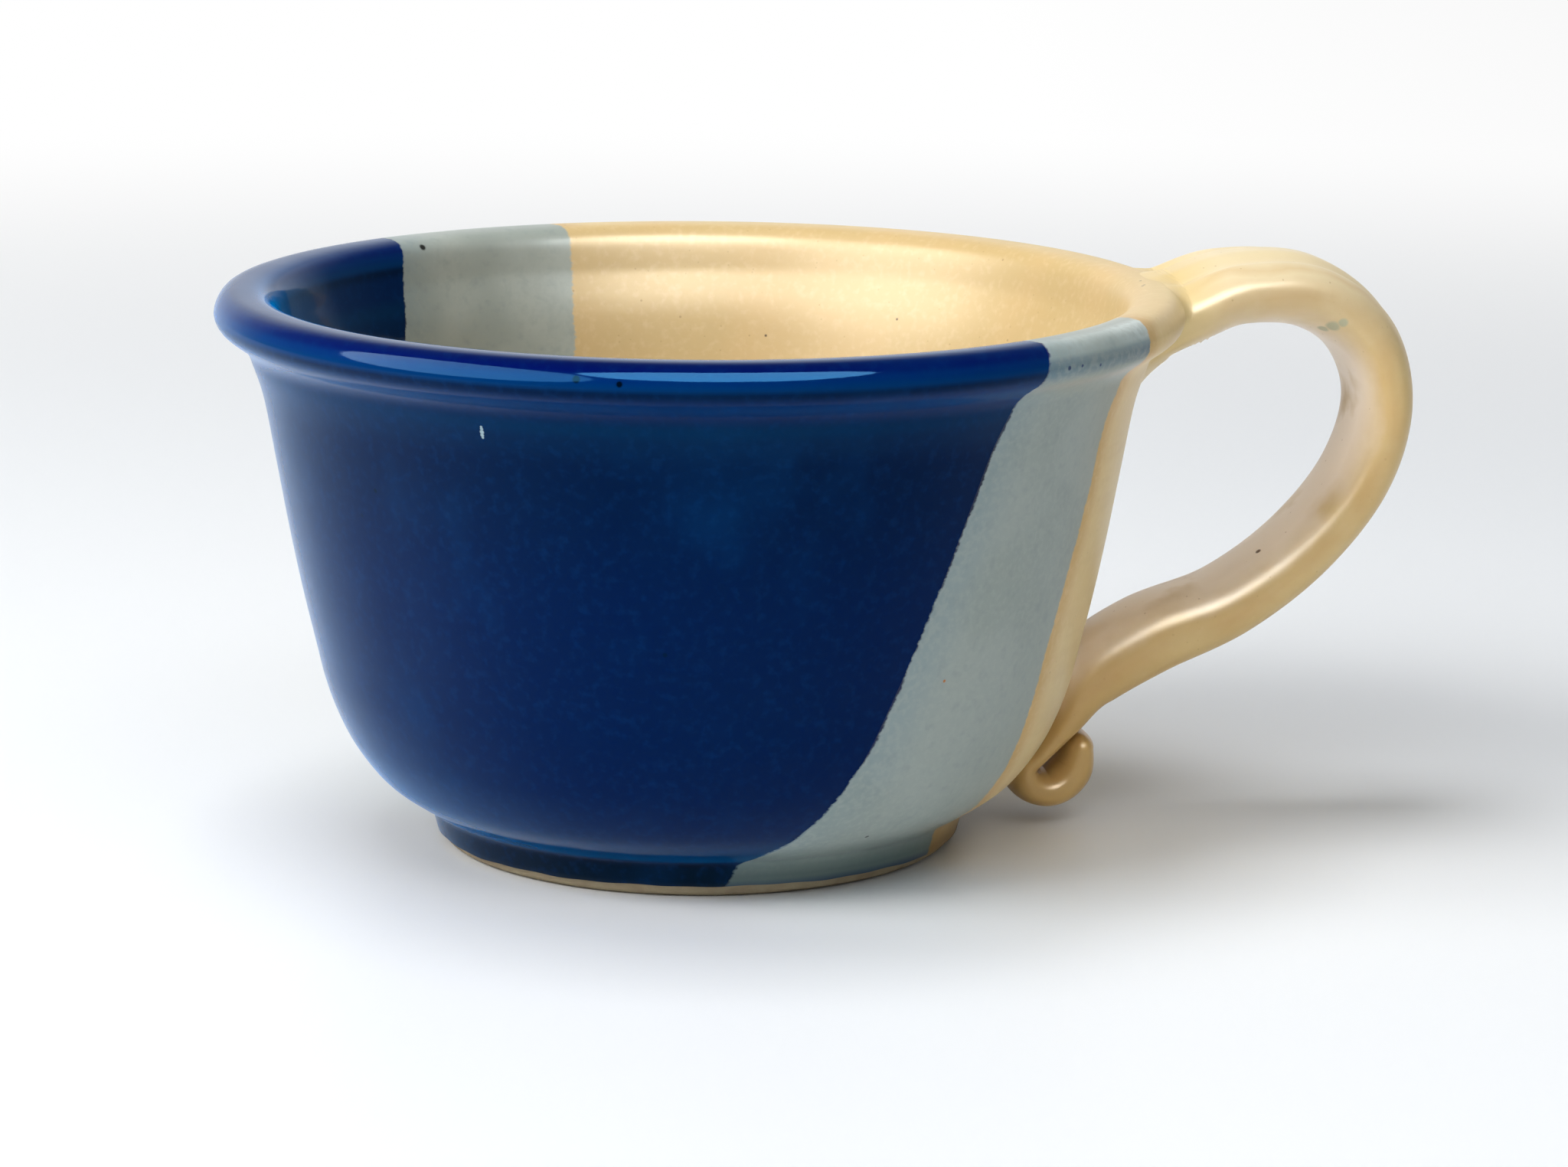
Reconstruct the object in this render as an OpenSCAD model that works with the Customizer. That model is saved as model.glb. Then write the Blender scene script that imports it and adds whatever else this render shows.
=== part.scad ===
// Soup mug: a wide thrown stoneware bowl on a low turned foot, with a rolled
// lip and one pulled strap handle whose tail is pressed on the wall and
// scrolled. The glaze is dipped in three colours that meet on slanted planes.
// Units are millimetres. The origin is the centre of the foot, on the table,
// +Z is up and the handle stands out along +X.

/* [Bowl] */
// Diameter across the rolled rim, over the glaze
rim_d = 130; // [126:1:134]
// Height from the table to the top of the rim
mug_h = 75.4; // [72:0.2:80]
// How far the lip stands out past the shoulder under it
lip_out = 4.8; // [3.6:0.2:6]
// Height of the lip, from the shoulder to the top of the rim
lip_h = 9.1; // [7.6:0.1:10.6]
// Thickness of the finished wall
wall_t = 4.8; // [4:0.2:5.6]
// Thickness of each coat of glaze
glaze_t = 0.4; // [0.3:0.05:0.6]

/* [Foot] */
// Diameter of the foot ring where the wall meets it
foot_d = 73; // [70:1:77]
// Height of the foot ring up to the wall
foot_h = 5; // [4:0.2:6.5]
// How far the foot ring draws in on its way down to the table
foot_taper = 1.2; // [0.6:0.1:2]
// Width of the foot ring's flat face on the table
foot_ring_w = 4; // [3:0.2:5.5]
// Depth of the trimmed hollow under the floor
recess_depth = 3.2; // [2:0.2:3.8]
// Height of the bare clay strip above the table
bare_h = 1.3; // [0.9:0.1:2]

/* [Handle] */
// How far the middle of the strap stands out from the shoulder
handle_out = 34.8; // [30:0.2:40]
// Width of the strap where it leaves the rim
strap_w = 28; // [24:0.5:31]
// Thickness of the strap over its arch
strap_t = 9.4; // [8.4:0.1:10.4]
// Depth of the two finger grooves down the strap's outer face
groove_depth = 0.9; // [0.4:0.05:1.2]
// How far the clay under the root is smoothed down the wall
root_flare = 4; // [1:0.2:5]
// Outer radius of the scroll that ends the tail
scroll_r = 7.4; // [6.8:0.1:7.8]
// Height of the scroll's centre above the table
scroll_z = 8.6; // [8.4:0.1:9.6]
// How far the scroll's centre stands off the wall
scroll_stand = 6.1; // [5.8:0.1:6.8]

/* [Dipped glaze] */
// Direction that the cobalt dip line faces, in degrees from the handle
cobalt_azimuth = 34.8; // [25:0.1:45]
// Lean of the cobalt dip line, in degrees
cobalt_lean = 15.4; // [8:0.1:22]
// Distance of the cobalt dip plane from the middle of the foot
cobalt_reach = 22; // [16:0.2:26]
// Direction that the cream dip line faces, in degrees from the handle
cream_azimuth = 32.9; // [25:0.1:45]
// Lean of the cream dip line, in degrees
cream_lean = 10.1; // [6:0.1:16]
// Distance of the cream dip plane from the middle of the foot
cream_reach = 9.9; // [6:0.1:14]

/* [Hidden] */

// Facets of a full turn
$fn = 96;

rim_r = rim_d / 2;
foot_r = foot_d / 2;
shoulder_r = rim_r - lip_out;
shoulder_z = mug_h - lip_h;
// Radius on the foot ring's edge that is eased where it meets the table
foot_ease = glaze_t;
floor_dish = glaze_t;

// The wall's outer curve: share of the way out from foot to shoulder, share of the way up
wall_shares = [
    [0, 0], [0.148, 0.033], [0.3, 0.077], [0.443, 0.149], [0.536, 0.221], [0.599, 0.291],
    [0.641, 0.358], [0.726, 0.5], [0.797, 0.637], [0.861, 0.775], [0.93, 0.918], [1, 1]];
// The lip: share of its projection past the shoulder, share of its height
lip_shares = [
    [0, 0], [0.06, 0.1], [0.28, 0.24], [0.6, 0.36], [0.88, 0.48], [1, 0.66], [0.93, 0.86],
    [0.66, 0.985], [0.4, 1], [0, 0.93], [-0.36, 0.74], [-0.66, 0.48]];

// The strap's middle line down to where it nears the wall: share of its stand-off from
// the shoulder, share of the mug's height, share of the strap's width, share of its thickness
strap_shares = [
    [0, 0.915, 0.96, 1], [0.181, 0.951, 0.93, 1.02], [0.388, 0.981, 0.87, 1.02],
    [0.675, 0.971, 0.8, 1.04], [0.908, 0.895, 0.74, 0.94], [1, 0.769, 0.69, 0.82],
    [0.92, 0.629, 0.655, 0.86], [0.698, 0.499, 0.62, 0.925], [0.399, 0.398, 0.59, 1]];
// Where the tail meets the wall: share of the stand-off from the wall, then as above
tail_shares = [
    [0.325, 0.336, 0.565, 1.13], [0.13, 0.27, 0.54, 1.03], [0.098, 0.196, 0.52, 0.58],
    [0.083, 0.137, 0.505, 0.385]];
// The scroll: shares of its radius out and up from its centre, then as above
scroll_shares = [
    [-0.435, -0.01, 0.5, 0.41], [-0.465, -0.2, 0.495, 0.47], [-0.39, -0.37, 0.49, 0.52],
    [-0.21, -0.485, 0.485, 0.55], [0.05, -0.515, 0.48, 0.57], [0.32, -0.39, 0.47, 0.6],
    [0.525, -0.12, 0.46, 0.58], [0.6, 0.225, 0.45, 0.45]];
// How the scroll's tip closes: share of the half thickness ahead, share of the last section
tip_shares = [[0.35, 0.86], [0.62, 0.55], [0.72, 0.12]];
// How the root closes on the wall: shares of the root's patch
root_shares = [0.06, 0.4, 0.72, 1];
// Flare of the root's patch at its top as a share of the flare under it, and how much the
// patch narrows downwards as a share of its width
root_top_share = 0.1;
root_narrow_share = 0.3;

// Steps between the points of a curve
wall_steps = 3;
strap_steps = 5;
// Points round the strap's section
section_n = 32;
// Squareness of the strap's section, where 2 is an ellipse
section_power = 2.5;
// Places and half width of the finger grooves, as shares of the strap's half width
groove_place_share = 0.4;
groove_half_share = 0.26;
// Shares of the way along the strap at which the grooves are in full depth and start to fade
groove_full_share = 0.12;
groove_fade_share = 0.68;

// Places and sizes of the slip under the strap, as shares of the mug's height
upper_slip_low_share = 0.845;
upper_slip_high_share = 0.905;
lower_slip_low_share = 0.2;
lower_slip_high_share = 0.25;
// Width of the slip as a share of the strap's width over it
slip_w_share = 0.7;

// A point and its slope on a smooth curve through four neighbours
function curve_at(a, b, c, d, t) =
    0.5 * (2 * b + (c - a) * t + (2 * a - 5 * b + 4 * c - d) * t * t + (3 * b - a - 3 * c + d) * t * t * t);
function clamp_at(p, i) = p[max(0, min(len(p) - 1, i))];
// A smooth curve through the points p, with n steps between each pair
function smooth(p, n) = [
    for (i = [0 : len(p) - 2], k = [0 : n - 1])
        curve_at(clamp_at(p, i - 1), p[i], p[i + 1], clamp_at(p, i + 2), k / n),
    p[len(p) - 1]];
function reversed(p) = [for (i = [len(p) - 1 : -1 : 0]) p[i]];
function unit(v) = v / norm(v);
// Unit normal to the left of an open line at point i
function left_normal(p, i) =
    let (d = unit(clamp_at(p, i + 1) - clamp_at(p, i - 1))) [-d[1], d[0]];
// The line moved to its left by a distance
function moved_left(p, by) = [for (i = [0 : len(p) - 1]) p[i] + left_normal(p, i) * by];

// The wall's finished outer curve, from the foot up to the shoulder
wall_line = smooth([for (s = wall_shares)
    [foot_r + s[0] * (shoulder_r - foot_r), foot_h + s[1] * (shoulder_z - foot_h)]], wall_steps);
// The lip's finished curve, from the shoulder over the top and inwards
lip_line = smooth([for (s = lip_shares)
    [shoulder_r + s[0] * lip_out, shoulder_z + s[1] * lip_h]], wall_steps);
// The inside of the wall, parallel to the outside, from the lip down to the floor
inner_line = reversed(moved_left(wall_line, wall_t));
floor_z = inner_line[len(inner_line) - 1][1] - floor_dish;
floor_r = inner_line[len(inner_line) - 1][0];
// Radius of the foot ring at a height
function foot_at(z) = foot_r - foot_taper * (1 - z / foot_h);

function but_first(p) = [for (i = [1 : len(p) - 1]) p[i]];

// The whole glazed outline, from the bare strip, over the lip, to the middle of the floor
glazed_line = concat(
    [[foot_at(bare_h), bare_h], [foot_at((bare_h + foot_h) / 2), (bare_h + foot_h) / 2]],
    wall_line, but_first(lip_line), but_first(inner_line),
    [[floor_r * 0.8, floor_z + floor_dish * 0.4], [floor_r * 0.5, floor_z], [0, floor_z]]);
// The clay's outline under the glaze
clay_line = moved_left(glazed_line, glaze_t);
clay_foot_r = foot_at(0) - glaze_t;

// Height and radius of the outside of the mug, for what is pressed on it
outside = concat([for (p = wall_line) [p[1], p[0]]],
    [for (p = but_first(lip_line)) if (p[0] > shoulder_r) [p[1], p[0]]]);
function wall_at(z) = lookup(z, outside);

// The strap's middle line with its width and thickness: [out, up, wide, thick]
strap_keys = concat(
    [for (s = strap_shares)
        [shoulder_r + s[0] * handle_out, s[1] * mug_h, s[2] * strap_w, s[3] * strap_t]],
    [for (s = tail_shares)
        [wall_at(s[1] * mug_h) + s[0] * handle_out, s[1] * mug_h, s[2] * strap_w, s[3] * strap_t]]);
scroll_x = wall_at(scroll_z) + scroll_stand;
scroll_keys = [for (s = scroll_shares)
    [scroll_x + s[0] * scroll_r, scroll_z + s[1] * scroll_r, s[2] * strap_w, s[3] * strap_t]];
strap_line = smooth(concat(strap_keys, scroll_keys), strap_steps);
strap_count = len(strap_line);

// A signed power, for the strap's section
function bend(v, power) = sign(v) * pow(abs(v), power);
// Depth of a groove across the section, one at the middle of a groove and zero past its edge
function groove(v) = pow(max(0, 1 - pow((abs(v) - groove_place_share) / groove_half_share, 2)), 2);
// Share of the groove's depth that is left at a place along the strap
function groove_left(place) = place < groove_full_share ? place / groove_full_share
    : place < groove_fade_share ? 1
    : max(0, 1 - (place - groove_fade_share) / groove_full_share);

// Pushes a point out to the wall's surface where it would be inside the mug
function pressed(p, gap) =
    let (r = norm([p[0], p[1]]), out = max(r, wall_at(p[2]) + gap)) [p[0] * out / r, p[1] * out / r, p[2]];
// Puts a point on the wall's surface
function seated(p) =
    let (r = norm([p[0], p[1]]), out = wall_at(p[2])) [p[0] * out / r, p[1] * out / r, p[2]];

// One ring of the strap at place i of its line, moved ahead and scaled by a share
function ring(i, ahead = 0, grow = 1) =
    let (
        key = strap_line[i],
        d = unit([for (k = [0, 1]) clamp_at(strap_line, i + 1)[k] - clamp_at(strap_line, i - 1)[k]]),
        middle = [key[0] + d[0] * ahead, key[1] + d[1] * ahead],
        deep = groove_depth * groove_left(i / (strap_count - 1)))
    [for (j = [0 : section_n - 1])
        let (
            a = 360 * j / section_n,
            across = bend(cos(a), 2 / section_power),
            out = bend(sin(a), 2 / section_power),
            up = (out * key[3] / 2 - (out > 0 ? deep * groove(across) : 0)) * grow)
        [middle[0] - d[1] * up, across * key[2] / 2 * grow, middle[1] + d[0] * up]];

// The patch of wall that the strap is pulled from, as a share of its size
function patch(grow) = [for (j = [0 : section_n - 1])
    let (
        a = 360 * j / section_n,
        up = bend(sin(a), 2 / section_power),
        across = bend(cos(a), 2 / section_power) * (1 - root_narrow_share * max(0, -up)),
        reach = strap_line[0][3] / 2 + root_flare * (up > 0 ? root_top_share : 1))
    seated([strap_line[0][0], across * grow * strap_line[0][2] / 2,
        strap_line[0][1] + up * grow * reach])];

// Gap to the wall of the first few rings, so that the root leaves the lip by degrees
root_step = glaze_t / 2;
root_rings = 9;
root_patch = patch(1);
// Share of the patch's outline that is left in a ring
function patch_left(i) = i < root_rings ? pow(1 - (i + 1) / (root_rings + 1), 2) : 0;
strap_rings = concat(
    [for (s = root_shares) patch(s)],
    [for (i = [0 : strap_count - 1])
        let (left = patch_left(i), gap = i < root_rings ? root_step * (i + 1) : 0, now = ring(i))
        [for (j = [0 : section_n - 1])
            pressed(root_patch[j] * left + pressed(now[j], gap) * (1 - left), gap)]],
    [for (s = tip_shares)
        ring(strap_count - 1, s[0] * strap_line[strap_count - 1][3] / 2, s[1])]);

// A closed tube through rings of points
module tube(rings) {
    n = len(rings[0]);
    m = len(rings);
    points = [for (r = rings, p = r) p];
    sides = [for (i = [0 : m - 2], j = [0 : n - 1])
        let (a = i * n + j, b = i * n + (j + 1) % n)
        each [[a, b + n, b], [a, a + n, b + n]]];
    first = [[for (j = [0 : n - 1]) j]];
    last = [[for (j = [n - 1 : -1 : 0]) (m - 1) * n + j]];
    polyhedron(points, concat(sides, first, last), convexity = 8);
}

// Everything on the far side of a dip plane
module beyond(azimuth, lean, reach) {
    size = 3 * rim_d;
    rotate([0, lean, azimuth])
        translate([reach, -size / 2, -size / 2])
            cube(size);
}

// All the glaze on the bowl, as one coat
module coat() {
    rotate_extrude()
        polygon(concat(glazed_line, reversed(clay_line)));
}

// The window in the glaze where the strap is stuck to the clay
module slip_window(low_share, high_share, wide) {
    low = low_share * mug_h;
    near = wall_at(low) - 3 * glaze_t;
    translate([near, -wide / 2, low])
        cube([rim_r, wide, (high_share - low_share) * mug_h]);
}

upper_slip_w = slip_w_share * strap_shares[0][2] * strap_w;
lower_slip_w = slip_w_share * tail_shares[2][2] * strap_w;

module slip_windows() {
    slip_window(upper_slip_low_share, upper_slip_high_share, upper_slip_w);
    slip_window(lower_slip_low_share, lower_slip_high_share, lower_slip_w);
}

// The thrown bowl with its lip and its trimmed foot, in clay
module bowl() {
    color("#b9a07a")
        rotate_extrude()
            polygon(concat(
                [[0, recess_depth], [clay_foot_r - foot_ring_w - foot_ease, recess_depth],
                    [clay_foot_r - foot_ring_w, foot_ease], [clay_foot_r - foot_ring_w + foot_ease, 0],
                    [clay_foot_r - foot_ease, 0], [clay_foot_r, foot_ease]],
                clay_line));
}

// Cobalt blue glaze on the side away from the handle
module cobalt_glaze() {
    color("#0b2a6b")
        difference() {
            coat();
            beyond(cobalt_azimuth, cobalt_lean, -cobalt_reach);
        }
}

// Blue-grey glaze between the two dip lines
module grey_glaze() {
    color("#8f9a9a")
        difference() {
            intersection() {
                coat();
                beyond(cobalt_azimuth, cobalt_lean, -cobalt_reach);
            }
            beyond(cream_azimuth, cream_lean, cream_reach);
        }
}

// Cream glaze on the handle's side
module cream_glaze() {
    color("#e0c594")
        difference() {
            intersection() {
                coat();
                beyond(cream_azimuth, cream_lean, cream_reach);
            }
            slip_windows();
        }
}

// The pulled strap with its grooves, its pressed tail and its scroll, in one length of clay
module handle() {
    color("#d9bf8e")
        tube(strap_rings);
}

// Slip that holds the strap's root to the wall, under the lip
module upper_slip() {
    color("#a89068")
        intersection() {
            coat();
            slip_window(upper_slip_low_share, upper_slip_high_share, upper_slip_w);
        }
}

// Slip that holds the strap's tail to the wall
module lower_slip() {
    color("#a89068")
        intersection() {
            coat();
            slip_window(lower_slip_low_share, lower_slip_high_share, lower_slip_w);
        }
}

bowl();
cobalt_glaze();
grey_glaze();
cream_glaze();
handle();
upper_slip();
lower_slip();
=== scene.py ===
"""A dipped stoneware soup mug with a pulled strap handle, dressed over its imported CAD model."""

import math

import bmesh
import bpy
import numpy as np
from bpy.props import FloatProperty, FloatVectorProperty, PointerProperty
from mathutils import Matrix, Vector


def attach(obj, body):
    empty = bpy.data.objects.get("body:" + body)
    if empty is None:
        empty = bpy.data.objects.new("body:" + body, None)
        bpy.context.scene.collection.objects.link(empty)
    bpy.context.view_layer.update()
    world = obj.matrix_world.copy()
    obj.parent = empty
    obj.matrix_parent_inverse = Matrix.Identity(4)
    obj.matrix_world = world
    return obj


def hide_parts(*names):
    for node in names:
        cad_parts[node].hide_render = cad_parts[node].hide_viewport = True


bl_info = {
    "name": "Dipped stoneware mug",
    "version": (1, 0, 0),
    "blender": (4, 5, 0),
    "location": "3D View > Sidebar > Mug",
    "description": "Glaze, clay, handle and studio for a dipped stoneware mug",
    "category": "Object",
}

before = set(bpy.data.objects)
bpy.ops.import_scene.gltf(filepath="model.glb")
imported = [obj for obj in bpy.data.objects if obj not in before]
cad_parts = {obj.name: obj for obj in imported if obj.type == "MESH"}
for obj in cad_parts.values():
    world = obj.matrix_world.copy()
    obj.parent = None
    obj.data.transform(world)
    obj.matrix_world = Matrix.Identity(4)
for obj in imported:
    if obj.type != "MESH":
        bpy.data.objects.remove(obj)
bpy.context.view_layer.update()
MM = 0.001
UM = 0.001 * MM

# The wall's outer curve: share of the way out from foot to shoulder, share of the way up
WALL_SHARES = (
    (0, 0), (0.148, 0.033), (0.3, 0.077), (0.443, 0.149), (0.536, 0.221), (0.599, 0.291),
    (0.641, 0.358), (0.726, 0.5), (0.797, 0.637), (0.861, 0.775), (0.93, 0.918), (1, 1),
)
# The lip: share of its projection past the shoulder, share of its height
LIP_SHARES = (
    (0, 0), (0.06, 0.1), (0.28, 0.24), (0.6, 0.36), (0.88, 0.48), (1, 0.626), (0.985, 0.692),
    (0.923, 0.797), (0.792, 0.912), (0.646, 0.973), (0.458, 0.999), (0.25, 1), (-0.1, 0.99),
    (-0.38, 0.942), (-0.56, 0.86), (-0.665, 0.753), (-0.735, 0.637), (-0.815, 0.484), (-0.885, 0.33),
)
# The strap down to the wall: stand-off from the shoulder, height, width, thickness, as shares
STRAP_SHARES = (
    (0, 0.915, 0.96, 1), (0.181, 0.951, 0.93, 1.02), (0.388, 0.981, 0.87, 1.02),
    (0.675, 0.971, 0.8, 1.04), (0.908, 0.895, 0.74, 0.94), (1, 0.769, 0.69, 0.82),
    (0.92, 0.629, 0.655, 0.86), (0.698, 0.499, 0.62, 0.925), (0.399, 0.398, 0.59, 1),
)
# The tail on the wall: stand-off from the wall, then as above
TAIL_SHARES = (
    (0.325, 0.336, 0.565, 1.13), (0.13, 0.27, 0.54, 1.03), (0.098, 0.196, 0.52, 0.58),
    (0.083, 0.137, 0.505, 0.385),
)
# The scroll: shares of its radius out and up from its centre, then as above
SCROLL_SHARES = (
    (-0.435, -0.01, 0.5, 0.41), (-0.465, -0.2, 0.495, 0.47), (-0.39, -0.37, 0.49, 0.52),
    (-0.21, -0.485, 0.485, 0.55), (0.05, -0.515, 0.48, 0.57), (0.32, -0.39, 0.47, 0.6),
    (0.525, -0.12, 0.46, 0.6), (0.6, 0.28, 0.45, 0.47),
)
# How finely the meshes are drawn: points between two keys of the wall and the lip, the pitch of the
# finished outline, and the columns of the clay, of each arc of glaze and of the strap
OUTLINE_STEPS = 12
OUTLINE_PITCH = 0.6 * MM
CLAY_COLUMNS = 232
COBALT_COLUMNS = 120
GREY_COLUMNS = 40
CREAM_COLUMNS = 110
STRAP_COLUMNS = 144
# Rings between two keys of the strap, rings on its rounded tip, rings that are drawn up to where it
# leaves the wall, and how far into the wall its line is carried back first, as a share of the
# stretch between two keys
STRAP_STEPS = 26
TIP_STEPS = 10
ROOT_ROWS = 84
ROOT_BACK = 0.9
# How much the wall thickens towards the rim, as a share
RIM_THICKENING = 0.05
# The strap's section: its power, and each groove's place and half width as shares of its half width
SECTION_POWER = 2.4
GROOVE_PLACE = 0.4
GROOVE_HALF = 0.27
# Shares of the strap's length: the grooves are at full depth from the first, and end at the second
# over a stretch as long as the third
GROOVES_FROM = 0.07
GROOVES_TO = 0.8
GROOVES_FADE = 0.12
# The rounded tip: how far it stands out as a share of the strap's thickness, and its last width as
# a share of the strap's
TIP_LENGTH = 0.42
TIP_WIDTH = 0.55
# The fillet at the root, in mm: how far into the wall it fades, how far it settles on the wall, how
# deep a point may lie to be moved, the shift under which it isn't, and how far in the strap's end
# is buried
FILLET_FADE = 1.2
FILLET_SETTLE = 0.05
FILLET_DEPTH = 0.6
FILLET_LEAST = 0.01
ROOT_BURIED = 0.5
# The glaze's ragged lower end: its lift in mm, the height over which it fades out in mm, and its
# waves round the foot: how many, phase and height in mm
RAGGED_LIFT = 0.32
RAGGED_FADE = 2.4
RAGGED_WAVES = ((3, 0.6, 0.1), (13, 2.1, 0.06), (31, 0, 0.04))
# The lines that the trimming tool leaves under the foot: height in mm, radians of their sine for
# each mm off the axis, and how many points of the outline have them
TOOL_LINE_H = 0.035
TOOL_LINE_RATE = 4.2
TOOL_LINE_POINTS = 45
# A coat stops a little short of the clay, so that no two faces lie on each other
COAT_SHARE = 0.96
# Dip planes: direction they face in degrees from the handle, lean in degrees, distance in mm
COBALT_DIP = (34.8, 15.4, -22.0)
CREAM_DIP = (32.9, 10.1, 9.9)
# How the dip lines wander off their planes: width of the waves, reach in mm and stretch
DIP_WAVES = ((14, 0.9, (1, 1, 1)), (1.0, 0.3, (1, 1, 1.6)))
# The cobalt's colour by height in mm: foot, wall, the cove under the lip, the lip and its top. None
# stands for the glaze's own colour in MugColours. The near black up the foot and in the cove is partly
# glaze pooled there and partly painted shade, under the bowl's overhang and under the lip
COBALT_HEIGHTS = (
    (0, "1c1d22"), (1.6, "16181e"), (2.3, "000212"), (4.4, "000216"), (6.2, "00082e"), (12, None),
    (40, None), (61, "00082f"), (64.4, "001438"), (66.2, "001e42"), (68.4, "001240"), (70.2, "001646"),
    (71.5, "00082c"), (72.5, "002c60"), (73.3, "002460"), (74.3, "010850"), (75.8, "01013a"),
)
# The grey's colour by height on the outside of the lip: a dark line in the cove under it, painted
# shade, and paler over its top, partly the glaze breaking pale and partly a painted highlight
GREY_LIP_SHADE_AND_HIGHLIGHT = (
    (0, None), (68, None), (69.6, "a29f92"), (70.6, "8d9692"), (71.4, "5f7681"), (72.2, "566e7b"),
    (73.0, "7f9298"), (73.8, "b1bebb"), (75.8, "c6d0cc"),
)
# Bands along the strap, which sway a little: place round its section, reach, share and colour. The
# first, pale and pink on the inner face, is a painted reflection of the pale room
BAND_SWAY = 0.04
HANDLE_BANDS = (
    (0.75, 0.22, 1.5, "f8e9d8"), (0.5, 0.09, 0.5, "c0965a"), (0, 0.09, 0.5, "c0965a"),
    (1, 0.09, 0.5, "c0965a"), (0.12, 0.03, 0.3, "c79a50"), (0.38, 0.03, 0.3, "c79a50"),
    (0.25, 0.05, 0.4, "e6d6ac"),
)
# Single marks in the glazes: x, y, z and radius in mm
IRON_SPOTS = ((-31.6, 48.2, 74.2, 0.5), (15.4, -39.6, 8.7, 0.3), (-20, 41, 41, 0.4))
BLUE_SPOTS = ((37.9, -52.7, 72.1, 0.3), (40.0, -51.2, 72.1, 0.22), (43.0, -48.6, 71.7, 0.22))
RUST_SPOTS = ((23.7, -47.0, 30.9, 0.22),)
DARK_SPOTS = ((-25.8, -59.3, 73.3, 0.5), (-20.8, -61.4, 72.9, 0.4), (-47.5, -32.1, 54.8, 0.3))
PALE_SPOTS = ((-35.9, -47.7, 64.9, 0.3), (-35.8, -47.5, 64.5, 0.26), (-35.7, -47.4, 64.2, 0.2),
              (-36.0, -47.9, 65.3, 0.24), (-36.0, -47.9, 65.6, 0.18))
BROWN_SPOTS = (
    (35.9, 40.6, 63.6, 0.25), (18.5, 50.1, 60.1, 0.25), (41.7, -12.0, 9.5, 0.35), (60.0, -3.4, 75.3, 0.2),
    (59.2, -7.5, 75.3, 0.2), (59.6, -6.9, 75.3, 0.2))
STRAP_PITS = ((77.6, -3.5, 37.4, 0.4), (53.8, 4.2, 25.7, 0.5))
STRAP_SMUDGE = ((84.4, -8.4, 69.0, 0.8), (85.4, -9.7, 69.6, 1.0), (86.6, -10.4, 70.2, 0.7))
# Waves of each surface: width in mm, height in micrometres, stretch
GLOSS_WAVES = ((12, 60, (1, 1, 1)), (1.7, 14, (0.05, 0.05, 1)), (1.6, 4, (1, 1, 1)))
SATIN_WAVES = ((10, 50, (1, 1, 1)), (1.3, 10, (1, 1, 1)))
RINGED_WAVES = ((12, 50, (1, 1, 1)), (3.4, 20, (0.06, 0.06, 1)), (1.4, 12, (1, 1, 1)))
STRAP_WAVES = ((9, 60, (1, 1, 1)), (1.4, 12, (1, 1, 1)))
CLAY_WAVES = ((0.6, 70, (1, 1, 1)), (1.2, 60, (0.05, 0.05, 1)))


def hex_colour(code):
    """An sRGB hex colour as linear numbers."""
    out = []
    for i in (0, 2, 4):
        v = int(code[i:i + 2], 16) / 255
        out.append(v / 12.92 if v <= 0.04045 else ((v + 0.055) / 1.055) ** 2.4)
    return tuple(out)


class MugSizes(bpy.types.PropertyGroup):
    """Sizes of the mug, as in its CAD model."""

    rim_d: FloatProperty(
        name="Rim diameter", description="Across the rolled rim", default=0.130, unit="LENGTH")
    mug_h: FloatProperty(
        name="Height", description="From the table to the top of the rim", default=0.0754, unit="LENGTH")
    lip_out: FloatProperty(
        name="Lip projection", description="How far the lip stands out past the shoulder",
        default=0.0048, unit="LENGTH")
    lip_h: FloatProperty(
        name="Lip height", description="From the shoulder to the top of the rim", default=0.0091, unit="LENGTH")
    wall_t: FloatProperty(
        name="Wall thickness", description="Thickness of the finished wall", default=0.0048, unit="LENGTH")
    glaze_t: FloatProperty(
        name="Glaze thickness", description="Thickness of a coat of glaze", default=0.0004, unit="LENGTH")
    foot_d: FloatProperty(
        name="Foot diameter", description="Across the foot ring where the wall meets it",
        default=0.073, unit="LENGTH")
    foot_h: FloatProperty(
        name="Foot height", description="Height of the foot ring", default=0.005, unit="LENGTH")
    foot_taper: FloatProperty(
        name="Foot taper", description="How far the foot ring draws in on its way down",
        default=0.0012, unit="LENGTH")
    foot_ring_w: FloatProperty(
        name="Foot ring width", description="Width of the flat face on the table", default=0.004, unit="LENGTH")
    recess_depth: FloatProperty(
        name="Trimmed hollow", description="Depth of the hollow under the floor", default=0.0032, unit="LENGTH")
    bare_h: FloatProperty(
        name="Bare clay strip", description="Height of the bare clay above the table",
        default=0.0013, unit="LENGTH")
    handle_out: FloatProperty(
        name="Handle reach", description="From the shoulder to the middle of the strap",
        default=0.0348, unit="LENGTH")
    strap_w: FloatProperty(
        name="Strap width", description="Width of the strap at the rim", default=0.028, unit="LENGTH")
    strap_t: FloatProperty(
        name="Strap thickness", description="Thickness of the strap over its arch",
        default=0.0094, unit="LENGTH")
    groove_depth: FloatProperty(
        name="Groove depth", description="Depth of the finger grooves down the strap",
        default=0.0009, unit="LENGTH")
    root_smear: FloatProperty(
        name="Root smear", description="How far the clay under the strap's root is smeared down the wall",
        default=0.007, unit="LENGTH")
    scroll_r: FloatProperty(
        name="Scroll radius", description="Outer radius of the rolled end", default=0.0074, unit="LENGTH")
    scroll_z: FloatProperty(
        name="Scroll height", description="Height of the scroll's centre", default=0.0086, unit="LENGTH")
    scroll_stand: FloatProperty(
        name="Scroll stand-off", description="How far the scroll's centre stands off the wall",
        default=0.0061, unit="LENGTH")
    fillet: FloatProperty(
        name="Root fillet", description="Radius of the smoothed clay where the strap meets the wall",
        default=0.0022, unit="LENGTH")


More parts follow.
